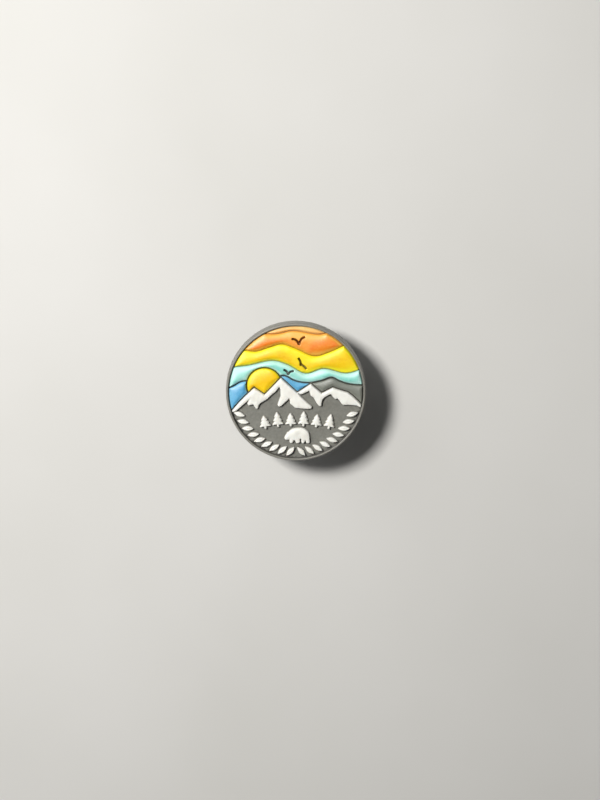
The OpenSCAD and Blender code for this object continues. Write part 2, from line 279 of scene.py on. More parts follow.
# ---------------- relief
UPPER_LEFT = np.array([-0.743, 0.669])    # towards the light, across the picture
TOP_LAYER = 0.002         # how near its highest point a node's flat top is
FEWEST_POINTS = 12        # on a softened loop
BLUR_REACH = 2.5          # how many radii a corner's rounding looks along the loop
FACING_BLEND = 1.2        # how quickly an edge turns from upper left to lower right
NEAREST = 0.02            # a distance to the edge counts as at least this
PAIRS_AT_ONCE = 1_000_000     # of points and edges, to save memory
WHOLE_HULL = 0            # the triangulation fills the hull of its points
CDT_MERGE = 1e-5          # and merges points that are nearer than this
TINY = 1e-12              # keeps a divisor off zero


def loops_of(node):
    """The closed lines round a relief node's flat top, with its material on their left."""
    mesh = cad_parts[node].data
    places = {}
    index = [places.setdefault(tuple(round(c / MM, 3) for c in v.co), len(places))
             for v in mesh.vertices]
    points = np.array(list(places))
    top = points[:, 2].max() - TOP_LAYER
    edges = set()
    for face in mesh.polygons:
        ring = [index[v] for v in face.vertices]
        if all(points[v][2] > top for v in ring):
            edges.update(zip(ring, ring[1:] + ring[:1]))
    follow = {a: b for a, b in sorted(edges) if (b, a) not in edges}
    loops = []
    while follow:
        start = here = min(follow)
        loop = []
        while here in follow:
            loop.append(here)
            here = follow.pop(here)
        if here == start and len(loop) > 2:
            loops.append(points[loop][:, :2])
    return loops


def area_of(loop):
    """A loop's area, below zero where it is a hole."""
    x, y = loop.T
    return float(x @ np.roll(y, -1) - y @ np.roll(x, -1)) / 2


def softened(loop, step, radius):
    """A loop at an even spacing, with its corners rounded off by about radius."""
    closed = np.vstack([loop, loop[:1]])
    run = np.r_[0, np.cumsum(np.linalg.norm(np.diff(closed, axis=0), axis=1))]
    count = max(FEWEST_POINTS, round(run[-1] / step))
    at = np.linspace(0, run[-1], count, endpoint=False)
    even = np.c_[np.interp(at, run, closed[:, 0]), np.interp(at, run, closed[:, 1])]
    span = max(1, math.ceil(BLUR_REACH * radius / step))
    offsets = np.arange(-span, span + 1)
    weights = np.exp(-0.5 * (offsets * step / radius) ** 2)
    return sum(w * np.roll(even, k, axis=0) for k, w in zip(offsets, weights / weights.sum()))


def leftward(loop):
    """The unit normal at each point of a loop, towards its left side."""
    along = np.roll(loop, -1, axis=0) - np.roll(loop, 1, axis=0)
    along /= np.linalg.norm(along, axis=1)[:, None] + TINY
    return np.c_[-along[:, 1], along[:, 0]]


def distance_to(loops, points):
    """How far each point is from the nearest of the loops' edges."""
    a = np.vstack(loops)
    b = np.vstack([np.roll(loop, -1, axis=0) for loop in loops])
    side = b - a
    best = []
    for chunk in np.array_split(points, max(1, len(points) * len(a) // PAIRS_AT_ONCE)):
        to = chunk[:, None] - a[None]
        t = np.clip((to * side).sum(2) / (side * side).sum(1), 0, 1)
        best.append(np.linalg.norm(to - t[..., None] * side, axis=2).min(1))
    return np.concatenate(best)


def soft_distances(line, points):
    """Three distances from each point to an island's outer line, smooth everywhere: to all
    of it, to its upper left and to its lower right. Each sums the line's parts by the
    inverse cube of how far off they are."""
    length = np.linalg.norm(np.roll(line, -1, axis=0) - line, axis=1)
    facing = np.clip(0.5 - FACING_BLEND * leftward(line) @ UPPER_LEFT, 0.001, 0.999)
    weights = np.array([length, length * facing, length * (1 - facing)]).T
    total = []
    for chunk in np.array_split(points, max(1, len(points) * len(line) // PAIRS_AT_ONCE)):
        gap = np.linalg.norm(chunk[:, None] - line[None], axis=2)
        total.append(np.maximum(gap, NEAREST) ** -3 @ weights)
    return np.sqrt(2 / np.concatenate(total)).T


def inside(loops, points):
    """Which points lie inside the loops, by the even-odd rule."""
    odd = np.zeros(len(points), bool)
    for loop in loops:
        ahead = np.roll(loop, -1, axis=0)
        for (x0, y0), (x1, y1) in zip(loop, ahead):
            crosses = (y0 > points[:, 1]) != (y1 > points[:, 1])
            if crosses.any():
                at = x0 + (points[:, 1] - y0) * (x1 - x0) / (y1 - y0 + TINY)
                odd ^= crosses & (points[:, 0] < at)
    return odd


def hex_grid(loops, pitch):
    """Points in offset rows over the loops' box."""
    low, high = np.vstack(loops).min(0), np.vstack(loops).max(0)
    rows = np.arange(low[1], high[1], pitch * math.sqrt(3) / 2)
    return np.array([(x, y) for i, y in enumerate(rows)
                     for x in np.arange(low[0] + (i % 2) * pitch / 2, high[0], pitch)])


def triangulated(loops, extra):
    """Points and triangles of the area inside loops, through the extra points."""
    flat = np.vstack(loops + extra)
    edges, start = [], 0
    for loop in loops:
        n = len(loop)
        edges += [(start + i, start + (i + 1) % n) for i in range(n)]
        start += n
    made = delaunay_2d_cdt([Vector(p) for p in flat], edges, [], WHOLE_HULL, CDT_MERGE)
    spots, _, triangles, sources = made[:4]
    plane = np.array([tuple(p) for p in spots])
    place = {source: i for i, same in enumerate(sources) for source in same}
    triangles = [list(f) for f in triangles]
    middles = np.array([plane[f].mean(0) for f in triangles])
    triangles = [f for f, keep in zip(triangles, inside(loops, middles)) if keep]
    return plane, triangles, [place[i] for i in range(start)]


# An island's wall at three places from its edge down, the last of them its foot: share of
# the height, share of the flare, and painted shade, darker further down. The steep one
# stands over a deep groove, and the shallow one over an open, coloured one.
STEEP_WALL = np.array([(0.3, 0.1, 0.4), (0.7, 0.4, 0.85), (1.0, 1.0, 1.0)])
SHALLOW_WALL = np.array([(0.18, 0.42, 0.35), (0.46, 1.0, 1.0), (1.0, 1.0, 1.0)])
# Over what upward part of its outward normal an island's wall is shallow
OPEN_ALL = -2
OPEN_ABOVE = 0.2
OPEN_NOWHERE = 2
OPENING_BLEND = 2         # how quickly a wall turns from steep to shallow
EDGE_ROWS = (0.12, 0.3, 0.55, 0.85, 1.25)   # rows of points inside an edge, in edge radii
ROW_KEPT = 0.94           # a row's point stays if it is this near its own distance
GRID_GAP = 0.45           # between the last row and the grid, in pitches
FOOT_BELOW = 0.01         # how far an island goes into the picture's floor
POCKET_IN = 0.04          # how much narrower a pocket is at its floor


def island(loops, height, edge_r, pitch, flare, pocket_z, opening):
    """Points, faces and marks of one raised island.

    loops[0] is its outer line, and the others are pockets in its top. height gives a
    point's z from its place and its distances to the edge, flare is how far the wall
    runs out by its foot, and the groove is shallow where the wall faces up the picture
    more than opening. The marks are thickness, from 0 at the edge to 1 at the top, and
    groove and pit, painted shade, darker further down, on the outer wall and in the pockets."""
    extra = []
    rows = [edge_r * share for share in EDGE_ROWS]
    for loop in loops:
        normal = leftward(loop)
        for depth in rows:
            row = loop + normal * depth
            keep = distance_to(loops, row) > ROW_KEPT * depth
            extra.append(row[keep & inside(loops, row)])
    grid = hex_grid(loops, pitch)
    grid = grid[inside(loops, grid)]
    if len(grid):
        extra.append(grid[distance_to(loops, grid) > rows[-1] + GRID_GAP * pitch])
    plane, faces, border = triangulated(loops, extra)

    gap = distance_to(loops, plane)
    gap[border] = 0.0
    z = height(plane, gap, soft_distances(loops[0], plane))
    points = [(x, y, h) for (x, y), h in zip(plane, z)]
    thick = list((z - z[border].max()) / (z.max() - z[border].max()))
    dark = [0.0] * len(points)
    pit = [0.0] * len(points)

    start = 0
    for number, loop in enumerate(loops):
        n = len(loop)
        top = above = border[start:start + n]
        low = pocket_z if number else FLOOR_Z - FOOT_BELOW
        out = -leftward(loop)
        upward = out[:, 1]
        shallow = np.clip(0.5 + OPENING_BLEND * (upward - opening), 0, 1) * (number == 0)
        out *= -POCKET_IN if number else flare
        for steep_share, shallow_share in zip(STEEP_WALL, SHALLOW_WALL):
            depth, spread, darkness = (np.outer(steep_share, 1 - shallow)
                                       + np.outer(shallow_share, shallow))
            below = list(range(len(points), len(points) + n))
            rim = np.array([points[v][2] for v in top])
            points += list(np.c_[loop + out * spread[:, None], rim + (low - rim) * depth])
            thick += [0.0] * n
            # painted shade, darker down each wall; a pocket's walls and floor also get the pit's
            # painted shade
            dark += list(darkness)
            pit += list(darkness * (number > 0))
            faces += [[above[(i + 1) % n], above[i], below[i], below[(i + 1) % n]]
                      for i in range(n)]
            above = below
        faces.append(above)
        start += n
    return points, faces, {"thickness": np.clip(thick, 0, 1), "groove": dark, "pit": pit}


def rounded_edge(edge_z, edge_r, gap):
    """The height at a distance gap inside an edge that is rounded up to edge_z."""
    drop = edge_r - np.clip(gap, 0, edge_r)
    return edge_z - edge_r + np.sqrt(np.maximum(edge_r**2 - drop**2, 0))


def dome(edge_z, edge_r, crown, reach, sculpt=None):
    """A height rule: a rounded edge up to edge_z, then a crown that rises over reach."""
    def height(plane, gap, soft):
        grown = 1 - np.exp(-soft[0] / reach)
        z = rounded_edge(edge_z, edge_r, gap) + crown * grown
        return z + sculpt(plane) * grown if sculpt is not None else z
    return height


CREST = 0.66              # how far across a wave its crest lies, from the upper left
FULL_WAVE = 1.5           # how wide a wave is that has its whole crown


def wave(edge_z, edge_r, crown, reach, sculpt=None):
    """A height rule: a rounded edge, then a slow rise from the upper left to a crest and a
    quick fall to the lower right."""
    def height(plane, gap, soft):
        across = soft[1] / (soft[1] + soft[2])
        side = np.where(across < CREST, (CREST - across) / CREST,
                        (across - CREST) / (1 - CREST))
        grown = 1 - np.exp(-soft[0] / reach)
        z = rounded_edge(edge_z, edge_r, gap)
        z = z + crown * (1 - side**2) * np.sqrt(np.clip((soft[1] + soft[2]) / FULL_WAVE, 0, 1))
        return z + sculpt(plane) * grown if sculpt is not None else z
    return height


def relief_loops(node, step, corner):
    """The softened loops of a relief node: a list of islands, each its outer line and pockets."""
    loops = [softened(loop, step, corner) for loop in loops_of(node)]
    holes = [loop for loop in loops if area_of(loop) < 0]
    return [[line] + [h for h in holes if inside([line], h[:1])[0]]
            for line in loops if area_of(line) > 0]


ISLANDS = {}              # the loops of each relief node that is made, for the grooves


def raise_relief(node, material, slot, height_for, edge_r, step=0.08, pitch=0.2,
                 corner=0.07, flare=0.06, pocket_z=0.0, opening=OPEN_NOWHERE):
    """The finished moulding of a relief node, in place of its flat CAD block.

    height_for gives an island's height rule from its outer line, step is the spacing of
    the points along its lines, pitch that of the grid, and corner its corners' radius."""
    ISLANDS[node] = relief_loops(node, step, corner)
    made = [island(loops, height_for(loops[0]), edge_r, pitch, flare, pocket_z, opening)
            for loops in ISLANDS[node]]
    points, faces = joined(*[m[:2] for m in made])
    marks = {mark: sum((list(m[2][mark]) for m in made), []) for mark in made[0][2]}
    add_piece(f"{node}_moulding", points, faces, "badge", material, slot, [node],
              sharp=0, marks=marks)


# ---------------- materials
def rgb(r, g, b):
    """A colour given as it looks on a screen, as the linear one that a shader takes."""
    return tuple(c / 255 / 12.92 if c <= 10 else ((c / 255 + 0.055) / 1.055) ** 2.4
                 for c in (r, g, b)) + (1.0,)


# A mix node's sockets for colours
COLOUR_A = 6
COLOUR_B = 7
COLOUR_OUT = 2


class Shader:
    """A material whose textures are measured in millimetres of the object's own frame."""

    def __init__(self, name):
        self.material = bpy.data.materials.new(name)
        self.material.use_nodes = True
        self.nodes = self.material.node_tree.nodes
        self.links = self.material.node_tree.links
        self.surface = self.nodes["Principled BSDF"]
        coordinate = self.nodes.new("ShaderNodeTexCoord")
        scale = self.nodes.new("ShaderNodeVectorMath")
        scale.operation = "SCALE"
        scale.inputs["Scale"].default_value = 1 / MM
        self.links.new(coordinate.outputs["Object"], scale.inputs[0])
        self.place = scale.outputs[0]

    def set(self, **values):
        """Sets the surface's own sockets, with _ for each space in their names."""
        for name, value in values.items():
            self.surface.inputs[name.replace("_", " ")].default_value = value

    def noise(self, size, detail=2.0, rough=0.5, stretch=(1, 1, 1)):
        """Cloudy noise from 0 to 1 with blobs of about size millimetres."""
        node = self.nodes.new("ShaderNodeTexNoise")
        node.inputs["Scale"].default_value = 1 / size
        node.inputs["Detail"].default_value = detail
        node.inputs["Roughness"].default_value = rough
        place = self.place
        if stretch != (1, 1, 1):
            longer = self.nodes.new("ShaderNodeMapping")
            longer.inputs["Scale"].default_value = stretch
            self.links.new(place, longer.inputs["Vector"])
            place = longer.outputs["Vector"]
        self.links.new(place, node.inputs["Vector"])
        return node.outputs["Fac"]

    def rings(self, size):
        """Fine turned lines round the Z axis, a line every size millimetres."""
        flat = self.nodes.new("ShaderNodeVectorMath")
        flat.operation = "MULTIPLY"
        flat.inputs[1].default_value = (1, 1, 0)
        self.links.new(self.place, flat.inputs[0])
        far = self.nodes.new("ShaderNodeVectorMath")
        far.operation = "LENGTH"
        self.links.new(flat.outputs[0], far.inputs[0])
        out = self.nodes.new("ShaderNodeCombineXYZ")
        self.links.new(far.outputs["Value"], out.inputs["X"])
        node = self.nodes.new("ShaderNodeTexNoise")
        node.inputs["Scale"].default_value = 1 / size
        node.inputs["Detail"].default_value = 2.0
        self.links.new(out.outputs[0], node.inputs["Vector"])
        return node.outputs["Fac"]

    def ramp(self, value, low, high, to_low=0.0, to_high=1.0):
        """Stretches value, from low and high, to to_low and to_high."""
        node = self.nodes.new("ShaderNodeMapRange")
        node.inputs["From Min"].default_value = low
        node.inputs["From Max"].default_value = high
        node.inputs["To Min"].default_value = to_low
        node.inputs["To Max"].default_value = to_high
        self.links.new(value, node.inputs["Value"])
        return node.outputs["Result"]

    def mix(self, share, first, second):
        """first, with share of it replaced by second."""
        node = self.nodes.new("ShaderNodeMix")
        node.data_type = "RGBA"
        for name, value in (("Factor", share), (COLOUR_A, first), (COLOUR_B, second)):
            socket = node.inputs[name]
            if isinstance(value, (int, float, tuple)):
                socket.default_value = value
            else:
                self.links.new(value, socket)
        return node.outputs[COLOUR_OUT]

    def attribute(self, name):
        """A mark of the piece's points, or 0 where it has none of that name."""
        node = self.nodes.new("ShaderNodeAttribute")
        node.attribute_name = name
        return node.outputs["Fac"]

    def add(self, first, second, weight):
        """first plus weight times second."""
        node = self.nodes.new("ShaderNodeMath")
        node.operation = "MULTIPLY_ADD"
        self.links.new(second, node.inputs[0])
        node.inputs[1].default_value = weight
        self.links.new(first, node.inputs[2])
        return node.outputs[0]

    def colour(self, socket):
        self.links.new(socket, self.surface.inputs["Base Color"])

    def roughness(self, socket):
        self.links.new(socket, self.surface.inputs["Roughness"])

    def clear_from_behind(self):
        """Lets a view from below see past the floor."""
        side = self.nodes.new("ShaderNodeNewGeometry")
        clear = self.nodes.new("ShaderNodeBsdfTransparent")
        both = self.nodes.new("ShaderNodeMixShader")
        self.links.new(side.outputs["Backfacing"], both.inputs["Fac"])
        self.links.new(self.surface.outputs["BSDF"], both.inputs[1])
        self.links.new(clear.outputs["BSDF"], both.inputs[2])
        self.links.new(both.outputs["Shader"], self.nodes["Material Output"].inputs["Surface"])

    def bump(self, height, depth):
        """Bumps the surface by height, a value from 0 to 1, times depth millimetres."""
        node = self.nodes.new("ShaderNodeBump")
        node.inputs["Strength"].default_value = 1.0
        node.inputs["Distance"].default_value = depth * MM
        self.links.new(height, node.inputs["Height"])
        self.links.new(node.outputs["Normal"], self.surface.inputs["Normal"])


DUST = rgb(196, 193, 182)
# a paler grey for the rim's top and outer side
PALER_RIM_GREY = rgb(136, 132, 123)
# painted shade in the pockets
PIT_SHADE_BROWN = rgb(50, 36, 22)
# painted shade in the grey floor's grooves and at the rim's foot
GROOVE_SHADE_GREY = rgb(52, 48, 42)


def soft_pvc(name, main, pale, deep, groove, shine=0.75, grain=1.0, glow=0.06, mottled=0.2):
    """Moulded soft PVC: clouded pigment, paler where it is thin, which on the sky's leaning
    waves also paints a highlight on their upper-left slopes, with painted shade in the
    grooves and pockets, and a fine satin grain.

    shine is the strength of its reflection, grain the depth of its grain, glow how much
    light goes into it, and mottled how strong its small pale clouds are."""
    s = Shader(name)
    clouds = s.noise(3.2, 3.0, 0.55)
    mottle = s.noise(0.42, 3.0, 0.6)
    fine = s.noise(0.07, 2.0, 0.6)
    specks = s.noise(0.16, 0.0)
    body = s.mix(s.ramp(clouds, 0.38, 0.66), main, deep)
    # paler where the layer is thin; on the sky's waves, whose crests lean to the lower right,
    # this paints the upper-left slopes paler, a painted highlight
    body = s.mix(s.ramp(s.attribute("thickness"), 0.1, 0.8, 0.8, 0.0), body, pale)
    body = s.mix(s.ramp(mottle, 0.35, 0.75, 0.0, mottled), body, pale)
    body = s.mix(s.ramp(specks, 0.79, 0.83, 0.0, 0.3), body, DUST)
    # a paler grey over the rim's top and outer side
    body = s.mix(s.ramp(s.attribute("paler_rim"), 0.0, 1.0, 0.0, 0.4), body, PALER_RIM_GREY)
    # painted shade: the groove colour down the walls and in narrow grooves
    body = s.mix(s.ramp(s.attribute("groove"), 0.0, 1.0, 0.0, 0.92), body, groove)
    # painted shade in the pockets, darker further down
    body = s.mix(s.ramp(s.attribute("pit"), 0.3, 1.0, 0.0, 0.45), body, PIT_SHADE_BROWN)
    s.colour(body)
    s.roughness(s.ramp(mottle, 0.3, 0.7, 0.39, 0.53))
    s.bump(s.add(s.add(fine, mottle, 1.4), clouds, 5.0), 0.012 * grain)
    s.set(Specular_IOR_Level=shine, Subsurface_Weight=glow, Subsurface_Scale=0.35 * MM,
          Subsurface_Radius=(1.0, 0.7, 0.5))
    return s.material


def plated(name, main, warm, dull, rough=0.2, turned=False):
    """Plated metal with handling wear, faint tarnish and fine scratches, and with turned
    lines round the Z axis where it is turned."""
    s = Shader(name)
    clouds = s.noise(2.6, 4.0, 0.6)
    wear = s.noise(0.9, 3.0, 0.5)
    scratch = s.noise(0.05, 2.0, 0.5, (1, 9, 1))
    body = s.mix(s.ramp(clouds, 0.4, 0.7), main, warm)
    body = s.mix(s.ramp(wear, 0.5, 0.75, 0.0, 0.35), body, dull)
    s.colour(body)
    s.roughness(s.add(s.ramp(wear, 0.3, 0.75, rough, rough + 0.16), scratch, 0.08))
    height = s.add(scratch, s.rings(0.09), 2.0) if turned else s.add(scratch, wear, 0.3)
    s.bump(height, 0.0014)
    s.set(Metallic=1.0)
    return s.material


# The fourth colour of each PVC is its painted shade on walls and in grooves.
grey_pvc = soft_pvc("grey_pvc", rgb(114, 114, 107), rgb(139, 138, 129), rgb(106, 106, 99),
                    GROOVE_SHADE_GREY, grain=1.6, mottled=0.45)
ridge_pvc = soft_pvc("ridge_grey_pvc", rgb(122, 125, 116), rgb(143, 146, 136),
                     rgb(110, 113, 105), rgb(40, 38, 35))
peach_pvc = soft_pvc("pale_orange_pvc", rgb(246, 192, 108), rgb(252, 218, 150),
                     rgb(238, 168, 78), rgb(172, 90, 24))
orange_pvc = soft_pvc("orange_pvc", rgb(235, 134, 14), rgb(245, 190, 82), rgb(232, 112, 8),
                      rgb(152, 70, 12))
yellow_pvc = soft_pvc("yellow_pvc", rgb(238, 196, 8), rgb(250, 240, 44), rgb(232, 180, 8),
                      rgb(122, 96, 12), shine=0.45)
sun_pvc = soft_pvc("sun_pvc", rgb(242, 200, 6), rgb(250, 234, 34), rgb(236, 184, 6),
                   rgb(112, 92, 16), shine=0.45)
teal_pvc = soft_pvc("teal_pvc", rgb(136, 212, 198), rgb(192, 236, 229), rgb(120, 203, 188),
                    rgb(44, 66, 56))
blue_pvc = soft_pvc("blue_pvc", rgb(84, 164, 206), rgb(138, 200, 228), rgb(70, 150, 196),
                    rgb(20, 46, 62))
white_pvc = soft_pvc("white_pvc", rgb(232, 232, 225), rgb(240, 240, 236), rgb(224, 223, 214),
                     rgb(168, 163, 150), grain=0.7, glow=0.04)
nickel = plated("nickel_plate", rgb(216, 213, 205), rgb(209, 203, 189), rgb(168, 163, 151))
turned_nickel = plated("turned_nickel", rgb(218, 215, 207), rgb(211, 205, 191),
                       rgb(170, 165, 153), turned=True)
plate_steel = plated("plate_steel", rgb(176, 176, 172), rgb(164, 162, 154),
                     rgb(122, 118, 110), rough=0.34)
post_steel = plated("post_steel", rgb(198, 198, 194), rgb(188, 186, 178), rgb(140, 137, 130),
                    rough=0.22)
spring_steel = plated("spring_steel", rgb(160, 160, 158), rgb(150, 146, 138),
                      rgb(96, 92, 86), rough=0.3)

# ---------------- badge body
RIM_W = 0.55
RIM_IN = BADGE_R - RIM_W
RIM_OUT_EDGE = 0.25       # radii of the body's edges: the rim's, its foot's and the back's
RIM_IN_EDGE = 0.18
RIM_FOOT = 0.1
BACK_EDGE = 0.12
DRAFT = 0.1               # how far the side leans in towards the face
PLAY = 0.02               # between the back plate and the pocket it sits in
POCKET_R = PLATE_R + PLAY
POCKET_LOW = PLATE_LOW[2] - PLAY
POCKET_TOP = PLATE_HIGH[2] + PLAY
LIP_IN = PLATE_R - 0.6    # the back's lip, which holds the plate
KEYS = 6                  # holes in the plate, filled by plugs of the body
KEY_AT = 3.1
KEY_R = 0.65
PLUG_R = KEY_R - 0.03
PLUG_LOW = PLATE_LOW[2] - 0.03
PLUG_TOP = POCKET_TOP - 0.01
BASE_SEGMENTS = 256
BASE_STEPS = 7            # in each rounded edge
GROOVE_W = 0.3            # between two colours
GROOVE_FADE = 0.7         # how soon a groove's painted shade ends, in its own widths
ROWS_OUTSIDE = (-0.1, 0.03, GROOVE_W / 2, GROOVE_W)   # of floor points, from each line
FLOOR_PITCH = 0.35
FLOOR_MARGIN = 0.04       # between the last floor point and the rim
FAR = 1.0                 # past this a shape is too far off to make a groove
FOOT_SHADE = 0.3               # painted shade in the corner at a raised shape's foot
FOOT_SHADE_REACH = 0.2
RIM_BAND = 0.1            # margin of the painted shade at the rim's foot and of its paler part


def key_places():
    """The middles of the plate's key holes."""
    angles = [2 * math.pi * k / KEYS for k in range(KEYS)]
    return [(KEY_AT * math.cos(a), KEY_AT * math.sin(a)) for a in angles]


def picture_floor(rim_line):
    """Points, faces and marks of the picture's floor, with painted shade where it is a narrow
    groove and at the foot of each raised shape.
    """
    extra = [hex_grid([rim_line], FLOOR_PITCH)]
    for islands in ISLANDS.values():
        for loops in islands:
            line = loops[0]
            extra += [line - leftward(line) * out for out in ROWS_OUTSIDE]
    extra = np.vstack(extra)
    reach = np.linalg.norm(rim_line[0]) - FLOOR_MARGIN
    extra = extra[np.linalg.norm(extra, axis=1) < reach]
    plane, faces, _ = triangulated([rim_line], [extra])
    gaps = []
    for islands in ISLANDS.values():
        lines = [loops[0] for loops in islands]
        low, high = np.vstack(lines).min(0) - FAR, np.vstack(lines).max(0) + FAR
        near = ((plane > low) & (plane < high)).all(1)
        gap = np.full(len(plane), FAR)
        gap[near] = distance_to(lines, plane[near]) * ~inside(lines, plane[near])
        gaps.append(gap)
    gaps.append(reach - np.linalg.norm(plane, axis=1))
    nearest = np.sort(np.array(gaps), axis=0)
    between = nearest[0] + nearest[1]
    # painted shade in narrow gaps between shapes and beside the rim, and at each shape's foot
    groove = np.clip((2 * GROOVE_W - between) / (GROOVE_FADE * GROOVE_W), 0, 1)
    foot_shade = FOOT_SHADE * np.clip(1 - nearest[0] / FOOT_SHADE_REACH, 0, 1)
    points = [(x, y, FLOOR_Z) for x, y in plane]
    none = [0.0] * len(points)
    return points, faces, {"thickness": [1.0] * len(points), "paler_rim": none,
                           "groove": list(np.maximum(groove, foot_shade))}


def build_base():
    """The grey body: rim ring, picture floor, back lip and the plugs through the plate."""
    outline = rounded([
        (LIP_IN, 0, BACK_EDGE - 0.02), (BADGE_R, 0, BACK_EDGE),
        (BADGE_R - DRAFT, BADGE_TOP, RIM_OUT_EDGE), (RIM_IN, BADGE_TOP, RIM_IN_EDGE),
        (RIM_IN + 0.02, FLOOR_Z, RIM_FOOT), (0, FLOOR_Z, 0), (0, POCKET_TOP, 0),
        (POCKET_R, POCKET_TOP, 0.02), (POCKET_R, POCKET_LOW, 0.02), (LIP_IN, POCKET_LOW, 0.06),
    ], steps=BASE_STEPS)
    middle = next(i for i, p in enumerate(outline) if p[0] == 0 and p[1] == FLOOR_Z)
    outline = outline[middle + 1:] + outline[:middle]
    rim_line = np.array(lathe(outline[-1:], BASE_SEGMENTS, closed=False)[0])[:, :2]
    floor_points, floor_faces, marks = picture_floor(rim_line)
    parts = [(floor_points, floor_faces), lathe(outline, BASE_SEGMENTS, closed=False)]
    plug = rounded([(0, PLUG_LOW, 0), (PLUG_R, PLATE_LOW[2] + 0.02, 0.05),
                    (PLUG_R, PLUG_TOP, 0), (0, PLUG_TOP, 0)])
    for at in key_places():
        parts.append(moved(*lathe(plug, 40), at))
    points, faces = joined(*parts)
    around = np.array(points[len(floor_points):])
    out = np.linalg.norm(around[:, :2], axis=1)
    z = around[:, 2]
    marks["thickness"] += [1.0] * len(around)
    # painted shade in the corner at the rim's inner foot
    marks["groove"] += list(1.0 * (out < RIM_IN + RIM_BAND) * (z > FLOOR_Z - RIM_BAND)
                            * (z < FLOOR_Z + 3 * RIM_BAND))
    # a paler grey over the rim's top and outer side
    marks["paler_rim"] += list(1.0 * (out > RIM_IN + RIM_BAND) * (z > RIM_BAND))
    add_piece("badge_body", points, faces, "badge", grey_pvc, "grey_pvc", ["base_body"],
              marks=marks)


# ---------------- picture
# Of fills, white relief and leaves: the height of the edge, the crown over it, the edge's
# radius, and the distance over which the crown grows
FILL_EDGE = FLOOR_Z + 0.38
FILL_CROWN = 0.42
FILL_EDGE_R = 0.16
FILL_REACH = 0.6
WHITE_EDGE = FLOOR_Z + 0.68
WHITE_CROWN = 0.17
WHITE_EDGE_R = 0.15
WHITE_REACH = 0.3
LEAF_EDGE_R = 0.13
LEAF_REACH = 0.2
VEIN_W = 0.06
VEIN_DEEP = 0.09
VEIN_SHARE = 0.72         # of the leaf's length
VEIN_FADE = 0.15          # from the leaf's edge in
TREES = 6
GULL_FLOOR = FILL_TOP - 0.5
SNOW_SLICE = 7            # where the snow's hollows are cut out of the solid noise
SWELL_H = 0.08            # the sky's long swells, which lean as they come down
SWELL_LEN = 11
SWELL_AT = (-5.5, 9.5)
SWELL_LEAN = 0.35


def sky_swell(plane):
    """Swells that run through the orange, yellow and teal bands."""
    x, y = plane.T
    along = x - SWELL_AT[0] - SWELL_LEAN * (SWELL_AT[1] - y)
    return SWELL_H * np.cos(2 * np.pi * along / SWELL_LEN)


def snow_folds(plane):
    """Uneven hollows, longer down the slopes than across them."""
    return np.array([0.06 * noise.noise(Vector((1.6 * x, 0.8 * y, SNOW_SLICE)))
                     + 0.02 * noise.noise(Vector((4 * x, 3 * y, SNOW_SLICE))) - 0.02
                     for x, y in plane])


# The bear's shoulder, haunch, head and hollow back: x, y, radius and height
BEAR_MUSCLES = ((-0.2, -8.0, 0.55, 0.07), (1.8, -8.1, 0.6, 0.07), (-1.5, -8.7, 0.4, 0.05),
                (0.8, -8.2, 0.4, -0.04))


def bear_muscles(plane):
    """Soft mounds and a hollow on the bear's side."""
    total = np.full(len(plane), -0.03)
    for x, y, radius, height in BEAR_MUSCLES:
        away = ((plane - (x, y)) ** 2).sum(1)
        total += height * np.exp(-away / radius**2)
    return total


def leaf_height(line):
    """A crowned leaf with a vein pressed along its middle."""
    middle = line.mean(0)
    _, _, axes = np.linalg.svd(line - middle)
    half = np.abs((line - middle) @ axes[0]).max()
    crown = dome(WHITE_EDGE, LEAF_EDGE_R, WHITE_CROWN, LEAF_REACH)

    def height(plane, gap, soft):
        along, across = ((plane - middle) @ axes.T).T
        vein = np.exp(-(across / VEIN_W) ** 2) * (np.abs(along) < VEIN_SHARE * half)
        return crown(plane, gap, soft) - VEIN_DEEP * vein * np.clip(gap / VEIN_FADE, 0, 1)
    return height


def build_picture():
    """The colour fills, the white relief and the border of leaves."""
    # node, material, slot, share of the full crown, its wall's flare and groove, sculpting
    fills = (
        ("top_sliver", peach_pvc, "pale_orange_pvc", 0.7, 0.15, OPEN_ALL, None),
        ("orange_band", orange_pvc, "orange_pvc", 1, 0.15, OPEN_ALL, sky_swell),
        ("yellow_band", yellow_pvc, "yellow_pvc", 1, 0.15, OPEN_ALL, sky_swell),
        ("teal_band", teal_pvc, "teal_pvc", 0.9, 0.15, OPEN_ABOVE, sky_swell),
        ("blue_left", blue_pvc, "blue_pvc", 0.9, 0.04, OPEN_NOWHERE, None),
        ("blue_valley", blue_pvc, "blue_pvc", 0.8, 0.04, OPEN_NOWHERE, None),
        ("sun", sun_pvc, "sun_pvc", 1, 0.13, OPEN_NOWHERE, None),
        ("far_ridge", ridge_pvc, "ridge_grey_pvc", 0.7, 0.03, OPEN_NOWHERE, None))
    for node, material, slot, share, flare, opening, sculpt in fills:
        rule = wave(FILL_EDGE, FILL_EDGE_R, share * FILL_CROWN, FILL_REACH, sculpt)
        raise_relief(node, material, slot, lambda line, rule=rule: rule, FILL_EDGE_R,
                     flare=flare, pocket_z=GULL_FLOOR, opening=opening)
    whites = {"snow_left": snow_folds, "snow_right": snow_folds, "bear": bear_muscles}
    whites.update({f"tree_{number}": None for number in range(1, TREES + 1)})
    for node, sculpt in whites.items():
        rule = dome(WHITE_EDGE, WHITE_EDGE_R, WHITE_CROWN, WHITE_REACH, sculpt)
        raise_relief(node, white_pvc, "white_pvc", lambda line, rule=rule: rule,
                     WHITE_EDGE_R, step=0.06, pitch=0.13, corner=0.06, flare=0.12,
                     opening=OPEN_ABOVE)
    raise_relief("leaf_border", white_pvc, "white_pvc", leaf_height, LEAF_EDGE_R,
                 step=0.06, pitch=0.07, corner=0.05)


